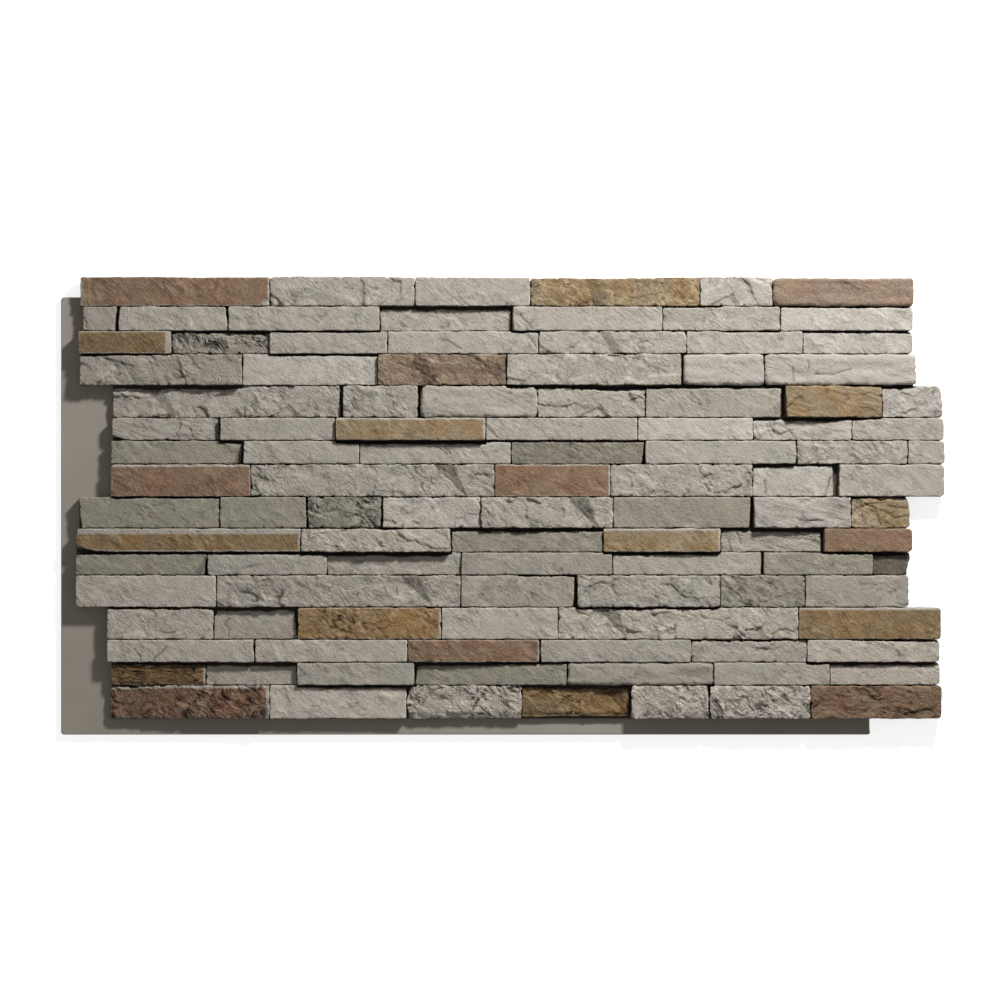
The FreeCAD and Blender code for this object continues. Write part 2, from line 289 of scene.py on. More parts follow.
# Single cracks, by course and stone: their points, from the stone's lower left corner.
CRACKS = {
    (2, 1): [[(1, 18), (5, 4)]],
    (2, 5): [[(11, 21), (29, 2)]],
    (3, 2): [[(5, 2), (9, 14), (8, 28)], [(14, 4), (17, 16), (15, 27)], [(21, 12), (25, 28)],
             [(28, 9), (33, 22), (32, 29)], [(40, 8), (52, 16), (62, 13)], [(66, 21), (80, 13), (92, 12)],
             [(56, 25), (70, 28)], [(96, 20), (108, 9)]],
    (3, 4): [[(194, 27), (208, 9)]],
    (3, 5): [[(137, 14), (151, 17)]],
    (4, 6): [[(38, 25), (39, 5)], [(60, 33), (60, 19)], [(70, 15), (94, 14), (120, 22)]],
    (6, 1): [[(109, 16), (113, 2)]],
    (6, 4): [[(2, 17), (15, 3)]],
    (6, 6): [[(17, 25), (26, 4)], [(21, 25), (29, 9)], [(2, 20), (9, 2)]],
    (7, 3): [[(112, 22), (121, 12)], [(118, 23), (127, 13)]],
    (8, 2): [[(252, 15), (251, 26)]],
    (8, 5): [[(17, 22), (16, 3)], [(103, 11), (102, 0)], [(113, 26), (106, 14)]],
    (9, 5): [[(115, 15), (114, 26)]],
    (9, 8): [[(10, 40), (34, 26), (40, 4)], [(40, 24), (60, 14), (84, 16)], [(2, 24), (24, 34), (46, 36)],
             [(52, 30), (78, 26)], [(46, 8), (58, 1)]],
    (10, 5): [[(23, 30), (28, 10)], [(9, 18), (15, 1)]],
    (12, 2): [[(252, 15), (251, 26)]],
    (13, 2): [[(20, 30), (15, 20), (20, 13), (18, 3)]],
    (14, 1): [[(38, 19), (48, 2)], [(83, 21), (64, 1)]],
    (16, 4): [[(97, 22), (96, 31)]],
}

# Bare margins round the colour, where the grey ground shows, by course and stone: left, right, bottom, top.
MARGINS = {
    (1, 1): (1.5, 2, 0.5, 0),
    (3, 1): (0, 7, 0.5, 0.5),
    (6, 3): (0, 3, 0, 2),
    (8, 1): (0, 0, 0, 2.5),
    (8, 3): (0, 1.5, 0.5, 0.5),
    (10, 1): (0, 2.5, 1.5, 7),
    (10, 4): (0, 2.5, 0.5, 2.5),
    (13, 3): (0, 2.5, 0, 0),
    (13, 6): (0, 0, 0, 2.5),
    (14, 3): (0, 1, 0.5, 0),
    (15, 1): (0, 2.5, 0, 0),
    (16, 1): (0, 3.5, 0, 3),
}


def linear(colour):
    """An sRGB hex colour as linear RGBA."""
    parts = [int(colour[i:i + 2], 16) / 255 for i in (1, 3, 5)]
    return [c / 12.92 if c <= 0.04045 else ((c + 0.055) / 1.055) ** 2.4 for c in parts] + [1.0]


def smooth_noise(x, y, seed):
    """Gradient noise of about -1 to 1, with one bump for each unit of x and y."""
    size = 64
    turn = np.random.default_rng(seed).random((size, size)) * 2 * math.pi
    cell_x, cell_y = np.floor(x).astype(int), np.floor(y).astype(int)
    part_x, part_y = x - cell_x, y - cell_y

    def corner(step_x, step_y):
        angle = turn[(cell_x + step_x) % size, (cell_y + step_y) % size]
        return np.cos(angle) * (part_x - step_x) + np.sin(angle) * (part_y - step_y)

    ease_x, ease_y = (t * t * t * (t * (6 * t - 15) + 10) for t in (part_x, part_y))
    low = corner(0, 0) * (1 - ease_x) + corner(1, 0) * ease_x
    high = corner(0, 1) * (1 - ease_x) + corner(1, 1) * ease_x
    return 1.5 * (low * (1 - ease_y) + high * ease_y)


def rough_noise(x, y, size, octaves, seed):
    """Noise whose largest bumps are size wide, with finer and weaker ones on them."""
    total = np.zeros_like(x + y)
    for octave in range(octaves):
        finer = 2 ** octave
        total += smooth_noise(x * finer / size, y * finer / size, seed + octave) / finer
    return total


def turned(x, y, angle):
    """Places measured along a direction and across it."""
    return x * math.cos(angle) + y * math.sin(angle), y * math.cos(angle) - x * math.sin(angle)


def strokes(x, y, angle, length, width, seed):
    """Noise drawn out along one direction."""
    along, across = turned(x, y, angle)
    bend = 0.5 * width * smooth_noise(along / length, across / (4 * width), seed + 50)
    return smooth_noise(along / length, (across + bend) / width, seed)


def cracks(x, y, angle, length, spacing, seed, width=0.3):
    """Meandering V-shaped cracks along one direction, -1 at their bottom. Each fades in and out."""
    along, across = turned(x, y, angle)
    across = across + 0.35 * spacing * smooth_noise(along / (0.6 * length), across / (3 * spacing), seed + 50)
    wave = smooth_noise(along / length, across / spacing, seed)
    fade = np.clip(0.3 + 1.8 * smooth_noise(along / (1.3 * length), across / (2.2 * spacing), seed + 7), 0, 1)
    return -np.clip(1 - np.abs(wave) / width, 0, 1) * fade


def ledges(x, y, angle, length, spacing, seed):
    """Little cliffs that face the lower left. Each fades in and out along its length."""
    along, across = turned(x, y, angle)
    step = across / spacing + 0.8 * smooth_noise(along / length, across / (2 * spacing), seed)
    level = np.floor(step)
    strength = np.clip(0.3 + 1.8 * smooth_noise(along / length, 0.73 * level, seed + 7), 0, 1)
    return (level + 1 - step) * strength


def facets(x, y, size, tilt, seed, squash=0.6):
    """Broken planes with crisp borders, each size wide along the stone and tilted its own way."""
    rng = np.random.default_rng(seed)
    bent_x = x + 0.12 * size * rough_noise(x, y, 0.5 * size, 2, seed + 60)
    bent_y = y + 0.12 * size * rough_noise(x, y, 0.5 * size, 2, seed + 70)
    columns, rows = int(np.ptp(x) / size) + 3, int(np.ptp(y) / (size * squash)) + 3
    total, weights = np.zeros_like(x), np.zeros_like(x)
    for column in range(columns):
        for row in range(rows):
            centre_x = x.min() + (column - 0.5 + 0.8 * rng.random()) * size
            centre_y = y.min() + (row - 0.5 + 0.8 * rng.random()) * size * squash
            lean_x, lean_y, rise = rng.normal(0, tilt), rng.normal(0, tilt), rng.normal(0, tilt * size * 0.15)
            away = ((bent_x - centre_x) / size) ** 2 + ((bent_y - centre_y) / (size * squash)) ** 2
            weight = np.exp(-45 * away) + 1e-12
            total += weight * (rise + lean_x * (x - centre_x) + lean_y * (y - centre_y))
            weights += weight
    return total / weights


# The faces of the seven dressings: their broad planes, and the marks on them. The number before a pattern is
# its depth. The pattern is given its direction, and then its length and its width or spacing in millimetres.

def sawn_face(x, y, seed):
    """Sawn stone: almost flat, with slanting saw and chisel marks."""
    plane = 0.5 * rough_noise(x, y, 50, 2, seed + 6) + facets(x, y, 60, 0.012, seed + 2)
    marks = 0.46 * cracks(x, y, TOOL_ANGLE, 18, 5, seed, 0.3)
    marks += 0.62 * cracks(x, y, TOOL_ANGLE, 55, 9, seed + 90, 0.08)
    grain = 0.15 * strokes(x, y, TOOL_ANGLE, 8, 3.4, seed + 3) + 0.12 * rough_noise(x, y, 4, 1, seed + 9)
    return plane, marks + grain + 0.35 * ledges(x, y, TOOL_ANGLE, 24, 10, seed + 5)


def split_face(x, y, seed):
    """Split stone: shallow broken planes with a pitted, slanting grain."""
    plane = facets(x, y, 40, 0.055, seed) + 0.4 * rough_noise(x, y, 12, 1, seed + 4)
    x, y = x + 3.5 * rough_noise(x, y, 36, 2, seed + 60), y + 3.5 * rough_noise(x, y, 36, 2, seed + 65)
    marks = 0.7 * cracks(x, y, TOOL_ANGLE, 17, 4.6, seed)
    marks += 1.3 * cracks(x, y, TOOL_ANGLE, 42, 8.5, seed + 90, 0.11)
    grain = 0.26 * strokes(x, y, TOOL_ANGLE, 7, 3.4, seed + 3) + 0.17 * rough_noise(x, y, 4, 1, seed + 9)
    return plane, marks + grain + 0.45 * ledges(x, y, TOOL_ANGLE, 18, 8, seed + 5)


def hewn_face(x, y, seed):
    """Hewn stone: broad calm planes with fine pits and a few folds."""
    plane = facets(x, y, 55, 0.05, seed) + 0.5 * rough_noise(x, y, 22, 2, seed + 4)
    marks = 0.66 * cracks(x, y, TOOL_ANGLE, 18, 5, seed, 0.25)
    marks += 0.6 * cracks(x, y, TOOL_ANGLE, 72, 13, seed + 90, 0.08)
    grain = 0.2 * strokes(x, y, TOOL_ANGLE, 6, 3.2, seed + 3) + 0.17 * rough_noise(x, y, 4, 1, seed + 9)
    return plane, marks + grain + 0.3 * ledges(x, y, TOOL_ANGLE, 22, 12, seed + 5)


def rock_face(x, y, seed):
    """Rock-faced stone: lumps between deep slanting crevices."""
    plane = facets(x, y, 28, 0.05, seed) + 0.35 * rough_noise(x, y, 12, 1, seed + 4)
    x, y = x + 7 * rough_noise(x, y, 30, 2, seed + 60), y + 7 * rough_noise(x, y, 30, 2, seed + 65)
    marks = 2.0 * cracks(x, y, TOOL_ANGLE, 28, 6.5, seed, 0.2)
    marks += 1.6 * cracks(x, y, TOOL_ANGLE, 14, 4, seed + 90, 0.25)
    grain = 0.34 * strokes(x, y, TOOL_ANGLE, 7, 3.4, seed + 3) + 0.25 * rough_noise(x, y, 4, 1, seed + 9)
    return plane, marks + grain + 0.9 * ledges(x, y, TOOL_ANGLE, 24, 10, seed + 5)


def cleft_face(x, y, seed):
    """Cleft stone: thin layers that run nearly along the bed."""
    plane = facets(x, y, 45, 0.05, seed) + 0.7 * ledges(x, y, CLEFT_ANGLE, 50, 8, seed + 5)
    marks = 0.65 * cracks(x, y, CLEFT_ANGLE, 34, 5, seed)
    marks += 0.9 * cracks(x, y, CLEFT_ANGLE, 60, 10, seed + 90, 0.1)
    grain = 0.32 * strokes(x, y, CLEFT_ANGLE, 26, 3, seed + 3) + 0.12 * rough_noise(x, y, 4, 1, seed + 9)
    return plane, marks + grain


def riven_face(x, y, seed):
    """Riven stone: rough layers that break off along the bed."""
    plane = facets(x, y, 40, 0.05, seed) + 0.9 * ledges(x, y, RIVEN_ANGLE, 36, 8, seed + 5)
    x, y = x + 5 * rough_noise(x, y, 30, 2, seed + 60), y + 5 * rough_noise(x, y, 30, 2, seed + 65)
    marks = 1.3 * cracks(x, y, RIVEN_ANGLE, 26, 5.5, seed, 0.25)
    marks += 1.4 * cracks(x, y, RIVEN_ANGLE, 50, 11, seed + 90, 0.12)
    grain = 0.35 * strokes(x, y, RIVEN_ANGLE, 16, 3, seed + 3) + 0.2 * rough_noise(x, y, 4, 1, seed + 9)
    return plane, marks + grain


def pillow_face(x, y, seed):
    """Worn stone: soft swells along the bed."""
    plane = 1.8 * rough_noise(0.45 * x, y, 22, 2, seed) + 0.7 * ledges(x, y, WORN_ANGLE, 24, 10, seed + 4)
    marks = 0.8 * cracks(x, y, WORN_ANGLE, 70, 12, seed + 90, 0.07)
    grain = 0.14 * strokes(x, y, TOOL_ANGLE, 8, 3.4, seed + 3) + 0.1 * rough_noise(x, y, 4, 1, seed + 9)
    return plane, marks + grain


# For each dressing: its face, the radius of its arris, how far its edges waver, how much they are chipped and
# how coarse its grit is.
DRESSINGS = {
    "sawn": (sawn_face, 1.1, 0.8, 0.7, 1.0),
    "split": (split_face, 1.4, 1.2, 1.5, 1.7),
    "hewn": (hewn_face, 1.5, 1.1, 1.3, 1.4),
    "rock": (rock_face, 2.0, 1.4, 2.0, 3.9),
    "cleft": (cleft_face, 1.2, 1.0, 1.2, 1.3),
    "riven": (riven_face, 2.0, 1.4, 1.8, 2.6),
    "pillow": (pillow_face, 5.0, 1.5, 0.8, 0.9),
}


def packed_panel():
    """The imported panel's own mesh, welded."""
    mesh = bmesh.new()
    mesh.from_mesh(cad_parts[NODE].data)
    bmesh.ops.remove_doubles(mesh, verts=mesh.verts, dist=0.01 * MM)
    mesh.normal_update()
    return mesh


def rings(edges):
    """Groups edges that meet end to end."""
    waiting, found = set(edges), []
    while waiting:
        ring = [waiting.pop()]
        for edge in ring:
            for other in [e for vert in edge.verts for e in vert.link_edges if e in waiting]:
                if other in waiting:
                    waiting.remove(other)
                    ring.append(other)
        found.append(ring)
    return found


def flat_levels(mesh):
    """Heights of the joint floor and of the laps' underside.

    From the back, they are the second level that faces up and the second that faces down.
    """
    up, down = set(), set()
    for face in mesh.faces:
        if abs(face.normal.z) > LEVEL:
            (up if face.normal.z > 0 else down).add(round(face.calc_center_median().z / MM, 2))
    return sorted(up)[1], sorted(down)[1]


def read_stones(joint_floor):
    """The stones of each course, top course first: outline at the joint floor, and plane of the face."""
    mesh = packed_panel()
    lowest = (joint_floor + LOWEST_FACE) * MM
    faces = [f for f in mesh.faces if f.normal.z > FACING_UP and f.calc_center_median().z > lowest]
    tops = [(f.calc_center_median() / MM, [v.co / MM for v in f.verts]) for f in faces]
    everything = mesh.verts[:] + mesh.edges[:] + mesh.faces[:]
    level = (joint_floor + READ_ABOVE_FLOOR) * MM
    cut = bmesh.ops.bisect_plane(mesh, geom=everything, plane_co=(0, 0, level), plane_no=(0, 0, 1))
    stones = []
    for ring in rings([g for g in cut["geom_cut"] if isinstance(g, bmesh.types.BMEdge)]):
        points = np.array([v.co for edge in ring for v in edge.verts]) / MM
        (x0, y0), (x1, y1) = points[:, :2].min(axis=0), points[:, :2].max(axis=0)
        corners = [c for centre, verts in tops if x0 < centre.x < x1 and y0 < centre.y < y1 for c in verts]
        left, right = min(corners, key=lambda c: c.x), max(corners, key=lambda c: c.x)
        slope = (right.z - left.z) / (right.x - left.x)
        stones.append({"x0": x0, "x1": x1, "y0": y0, "y1": y1, "slope": slope,
                       "face": left.z + slope * ((x0 + x1) / 2 - left.x)})
    mesh.free()
    beds = sorted({round(stone["y0"]) for stone in stones}, reverse=True)
    courses = [[s for s in stones if round(s["y0"]) == bed] for bed in beds]
    return [sorted(course, key=lambda s: s["x0"]) for course in courses]


def stations(length):
    """Grid lines across a stone: place along it, and how far up the wall each line is."""
    near, up = np.array(EDGE_STEPS), np.array(WALL_STEPS)
    cells = max(2, round((length - 2 * near[-1]) / PITCH))
    middle = np.linspace(near[-1], length - near[-1], cells + 1)[1:-1]
    places = np.concatenate([near, middle, length - near[::-1]])
    return places, np.concatenate([up, np.ones_like(middle), up[::-1]])


def ramp(u, v, line):
    """How far a plane has fallen away on the right of a line."""
    u0, v0, u1, v1, slope = line
    return slope * ((u - u0) * (v1 - v0) - (v - v0) * (u1 - u0)) / math.hypot(u1 - u0, v1 - v0)


def crack_depth(u, v, points):
    """1 at the bottom of a crack through some points, and 0 beyond its lips."""
    nearest = np.full_like(u, CRACK_WIDTH)
    for (u0, v0), (u1, v1) in zip(points, points[1:]):
        along = ((u - u0) * (u1 - u0) + (v - v0) * (v1 - v0)) / ((u1 - u0) ** 2 + (v1 - v0) ** 2)
        along = np.clip(along, 0, 1)
        nearest = np.minimum(nearest, np.hypot(u - u0 - along * (u1 - u0), v - v0 - along * (v1 - v0)))
    return 1 - nearest / CRACK_WIDTH


def single_features(u, v, key, seed):
    """Relief of the hollows and cracks of one stone, the painted shade on their shaded walls and in the cracks,
    and where the colour is off.
    """
    bent_u = u + 1.5 * rough_noise(u, v, 14, 2, seed + 80)
    bent_v = v + 1.5 * rough_noise(u, v, 14, 2, seed + 85)
    depth, dark, bare = np.zeros_like(u), np.zeros_like(u), np.zeros_like(u)
    for deepest, painted_shade, lines in DENTS.get(key, []):
        walls = [ramp(bent_u, bent_v, line) for line in lines]
        fall = np.clip(np.minimum.reduce(walls), 0, deepest)
        shaded = walls[0] <= np.minimum.reduce(walls[1:] + [np.full_like(u, deepest)])
        depth += fall
        # The wall that falls first from its line faces away from the light; painted shade darkens it.
        dark += max(painted_shade, 0) * shaded * np.clip(fall / FULL_HOLLOW, 0, 1)
        bare += max(-painted_shade, 0) * np.clip(fall / FULL_HOLLOW, 0, 1)
    for points in CRACKS.get(key, []):
        crack = crack_depth(bent_u, bent_v, points)
        depth += CRACK_DEPTH * crack
        # Cracks are darkened as painted shade.
        dark += crack
    return depth, dark, bare


def level_at(stone, x):
    """Height of a stone's face at a place along the panel."""
    return stone["face"] + stone["slope"] * (x - (stone["x0"] + stone["x1"]) / 2)


def beside(others, x):
    """Which places along the panel have one of some stones beside them."""
    found = np.zeros(x.shape, bool)
    for other in others:
        found |= (x > other["x0"] - 1) & (x < other["x1"] + 1)
    return found


def trim(key, side, along, stone, neighbours):
    """How far an edge is cut back: where that is stated, and where a joint opens beside a higher stone."""
    cuts = TRIMS.get((*key, side), [(0, 0)])
    cut = np.interp(along, [place for place, _ in cuts], [cut for _, cut in cuts])
    if side in JOINT_SHARES:
        x = stone["x0"] + along if side == "top" else np.full_like(along, stone["x1"])
        waves = 1 + 0.4 * rough_noise(along, 0 * along, 40, 3, 1000 * key[0] + 100 * key[1] + len(side))
        for other in neighbours[side]:
            rise = level_at(other, x) - level_at(stone, x)
            opening = np.minimum(JOINT_SHARES[side] * rise + 0.4, WIDEST_OPENING) * waves
            cut = np.maximum(cut, opening * (rise > LEAST_RISE) * beside([other], x))
    return cut


def rounding(edge_u, edge_v, radius_u, radius_v):
    """How far a rounded arris has fallen, by the distance from a stone's ends and from its beds."""
    inside_u, inside_v = np.clip(1 - edge_u / radius_u, 0, 1), np.clip(1 - edge_v / radius_v, 0, 1)
    inside = np.clip(np.hypot(inside_u, inside_v), 0, 1)
    return np.maximum(radius_v, radius_u * (inside_u > 0)) * (1 - np.sqrt(1 - inside ** 2))


def grid_faces(rows, columns):
    """Quads of a grid of points, and the ring of points round it."""
    index = np.arange(rows * columns).reshape(rows, columns)
    quads = np.stack([index[:-1, :-1], index[1:, :-1], index[1:, 1:], index[:-1, 1:]], axis=-1).reshape(-1, 4)
    ring = np.concatenate([index[0, :], index[1:, -1], index[-1, -2::-1], index[-2:0:-1, 0]])
    return quads, ring


def carve(stone, dressing, key, end_arris, limits, neighbours):
    """One stone: its points, quads and bottom face, the relief that the paint shows, with painted shade and a
    painted highlight added, and the colour's cover.

    u and v are places along and up the stone, from its lower left corner.
    """
    joint_floor, lap, low, high = limits
    face, arris, waver, chip, _ = DRESSINGS[dressing]
    seed = 1000 * key[0] + 100 * key[1]
    length, height = stone["x1"] - stone["x0"], stone["y1"] - stone["y0"]
    (u, up_u), (v, up_v) = stations(length), stations(height)
    u, v = np.meshgrid(u, v, indexing="ij")
    up = np.minimum(*np.meshgrid(up_u, up_v, indexing="ij"))
    edge_u, edge_v = np.minimum(u, length - u), np.minimum(v, height - v)
    edge = np.minimum(edge_u, edge_v)
    right, top = u > length / 2, v > height / 2

    # Height of the face, with its arrises and nicks, and of the walls down to the laps' underside.
    plane, marks = face(u + stone["x0"], v + stone["y0"], seed)
    marks *= np.clip(1 + PATCHINESS * rough_noise(u, v, 55, 2, seed + 15), 0.25, 2)
    depth, dark, off = single_features(u, v, key, seed)
    relief = plane + marks - np.percentile(plane + marks, SHARE_UNDER_PLANE) - depth
    radius = arris * (1 + 0.5 * rough_noise(u, v, 18, 2, seed + 20))
    fall = rounding(edge_u, edge_v, np.where(right, np.maximum(radius, end_arris), radius), radius)
    nicks = np.clip(rough_noise(u, v, 8, 2, seed + 30) - 0.2, 0, 1) * np.clip(1 - edge / NICK_BAND, 0, 1)
    crown = stone["face"] + stone["slope"] * (u - length / 2) + relief
    crown = crown - ARRIS_FALL * fall - NICK_DEPTH * chip * nicks
    crown = np.clip(crown, joint_floor + LOWEST_FACE, high[2])
    bottom = lap + ABOVE_LAP
    z = bottom + (crown - bottom) * up

    # Edges that no neighbour stands beside, and rounded corners.
    open_u = ~np.where(right, bool(neighbours["right"]), bool(neighbours["left"]))
    along = u + stone["x0"]
    open_v = ~np.where(top, beside(neighbours["top"], along), beside(neighbours["bottom"], along))
    corner = np.where(right & open_u, max(END_CORNER, arris), min(arris + 1, 0.35 * height))
    a, b = np.clip(1 - edge_u / corner, 0, 1), np.clip(1 - edge_v / corner, 0, 1)
    pull = corner * (1 - np.maximum(a, b) / np.maximum(np.hypot(a, b), 1e-9))

    # How far each edge moves in: draft, cuts, nicks and waver.
    draft = WALL_SLOPE * (z - joint_floor) - SWELL * (1 + 0.8 * rough_noise(u, v, 34, 2, seed + 35))
    cut = {side: trim(key, side, u if side in ("top", "bottom") else v, stone, neighbours)
           for side in ("left", "right", "bottom", "top")}
    cut_u = np.where(right, cut["right"], cut["left"]) * np.where(open_u, 1, up)
    cut_v = np.where(top, cut["top"], cut["bottom"]) * np.where(open_v, 1, up)
    broken = NICK_BITE * chip * nicks * up
    wave_u, wave_v = (waver * np.where(free, OUTER_WAVER, 1) for free in (open_u, open_v))
    move_u = draft + cut_u + broken + wave_u * rough_noise(v + 200, z, 16, 3, seed + 40)
    move_v = draft + cut_v + broken + wave_v * rough_noise(u, z + 200, 26, 4, seed + 45)
    fade_u = np.clip(1 - edge_u / np.minimum(EDGE_REACH + 3 * cut_u, length / 2), 0, 1)
    fade_v = np.clip(1 - edge_v / np.minimum(EDGE_REACH + 3 * cut_v, height / 2), 0, 1)
    x = stone["x0"] + u + np.where(right, -1, 1) * (pull * a + move_u * fade_u)
    y = stone["y0"] + v + np.where(top, -1, 1) * (pull * b + move_v * fade_v)
    points = np.stack([np.clip(x, low[0], high[0]), np.clip(y, low[1], high[1]), z], axis=-1).reshape(-1, 3)

    # Paint: the dark tone in the marks' hollows, painted shade on the walls in joints and in shaded hollows and
    # cracks, rubbed edges with a painted highlight, and the margins and hollows where the colour is off.
    marks = np.where(up < 1, WALL_MOTTLE * rough_noise(u, v + 9 * up, 12, 2, seed + 55), marks)
    # Rubbed edges: partly dry-brushing, partly a painted highlight where the light catches the arris, wider at
    # the top.
    rubbed_and_lit = np.clip(0.5 + 2 * rough_noise(u, v, 20, 2, seed), 0, 1) * (up == 1)
    rim = RUBBED_EDGE_AND_HIGHLIGHT * np.clip(1 - edge / np.where(top, *RUBBED_AND_HIGHLIGHT_WIDTHS), 0, 1) * rubbed_and_lit
    # Walls in a joint get painted shade: the dark tone stands in for the shade deep in the joint.
    painted_shade = JOINT_PAINTED_SHADE * (up < 1) * ~np.where(edge_u < edge_v, open_u, open_v)
    bare = MARGINS.get(key, (-1, -1, -1, -1))
    cover = np.minimum.reduce([u - bare[0], length - u - bare[1], v - bare[2], height - v - bare[3]])
    quads, ring = grid_faces(*u.shape)
    return points, quads, ring, (marks - dark - painted_shade + rim).ravel(), (cover - BARE_HOLLOW * off).ravel()


def add_object(data):
    """Puts a mesh, a lamp or a camera into the scene under its own name."""
    made = bpy.data.objects.new(data.name, data)
    bpy.context.collection.objects.link(made)
    return made


def build_course(number, courses, looks, limits, finishes):
    """One course of stones as one piece, with a finish for each paint in it."""
    above, stones, below = ([[]] + courses + [[]])[number - 1:number + 2]
    points, faces, paint, cover, relief, grit = [], [], [], [], [], []
    used = sorted({look.split()[0] for look in looks})
    count = 0
    for place, (stone, look) in enumerate(zip(stones, looks), 1):
        finish, dressing = look.split()
        end_arris = END_ARRIS if place == len(stones) else 0
        beds = {"left": stones[:place - 1], "right": stones[place:place + 1], "top": above, "bottom": below}
        spots, quads, ring, depth, covered = carve(stone, dressing, (number, place), end_arris, limits, beds)
        points.append(spots)
        faces += (quads + count).tolist() + [(ring + count).tolist()]
        paint += [used.index(finish)] * (len(quads) + 1)
        cover.append(covered)
        relief.append(depth)
        grit.append(np.full_like(depth, DRESSINGS[dressing][-1]))
        count += len(spots)
    mesh = bpy.data.meshes.new(f"course_{number:02d}")
    mesh.from_pydata(np.concatenate(points) * MM, [], faces)
    mesh.polygons.foreach_set("material_index", paint)
    mesh.shade_smooth()
    for name, values in (("cover", cover), ("relief", relief), ("grit", grit)):
        mesh.attributes.new(name, "FLOAT", "POINT").data.foreach_set("value", np.concatenate(values))
    for finish in used:
        mesh.materials.append(finishes[finish])
    return add_object(mesh)


def tuck_in(mesh, lap):
    """Moves the right and upper sides of the overhanging beds in, as the stones' own edges show there."""
    moves = {}
    for face in mesh.faces:
        side = (round(face.normal.x), round(face.normal.y))
        if side in ((1, 0), (0, 1)) and min(vert.co.z for vert in face.verts) > (lap - 0.1) * MM:
            for vert in face.verts:
                moves.setdefault(vert, set()).add(side)
    for vert, sides in moves.items():
        for x, y in sides:
            vert.co -= Vector((x, y, 0)) * TUCK * MM


def build_backing(joint_floor, lap, finishes):
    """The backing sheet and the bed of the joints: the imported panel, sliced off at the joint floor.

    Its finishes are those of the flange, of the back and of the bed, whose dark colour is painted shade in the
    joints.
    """
    mesh = packed_panel()
    everything = mesh.verts[:] + mesh.edges[:] + mesh.faces[:]
    level = (joint_floor - SLICE_BELOW_FLOOR) * MM
    bmesh.ops.bisect_plane(mesh, geom=everything, plane_co=(0, 0, level), plane_no=(0, 0, 1),
                           clear_outer=True)
    open_edges = [e for e in mesh.edges if e.is_boundary]
    bmesh.ops.contextual_create(mesh, geom=open_edges)
    tuck_in(mesh, lap)
    mesh.normal_update()
    bed = (joint_floor - BED_DEPTH) * MM
    for face in mesh.faces:
        # The bed of the joints takes the painted shade, faces that look down the bare foam, and the rest the
        # flange paint.
        face.material_index = 1 if face.normal.z < -0.5 else 2 if face.calc_center_median().z > bed else 0
    data = bpy.data.meshes.new("backing_sheet")
    mesh.to_mesh(data)
    mesh.free()
    for finish in finishes:
        data.materials.append(finish)
    return add_object(data)


def node(tree, kind, settings=None, **inputs):
    """Adds a node, sets its properties and links or fills its inputs."""
    made = tree.nodes.new(kind)
    for name, value in (settings or {}).items():
        setattr(made, name, value)
    for name, value in inputs.items():
        socket = made.inputs[int(name[1:])] if name[0] == "_" else made.inputs[name.replace("_", " ")]
        if isinstance(value, bpy.types.NodeSocket):
            tree.links.new(value, socket)
        else:
            socket.default_value = value
    return made


def repeats(size):
    """The scale of a pattern whose bumps are so many millimetres wide: how many of them fit in a metre."""
    return 1 / (size * MM)


def new_material(name):
    """An empty node material, and its tree."""
    material = bpy.data.materials.new(name)
    material.use_nodes = True
    material.node_tree.nodes.clear()
    return material, material.node_tree


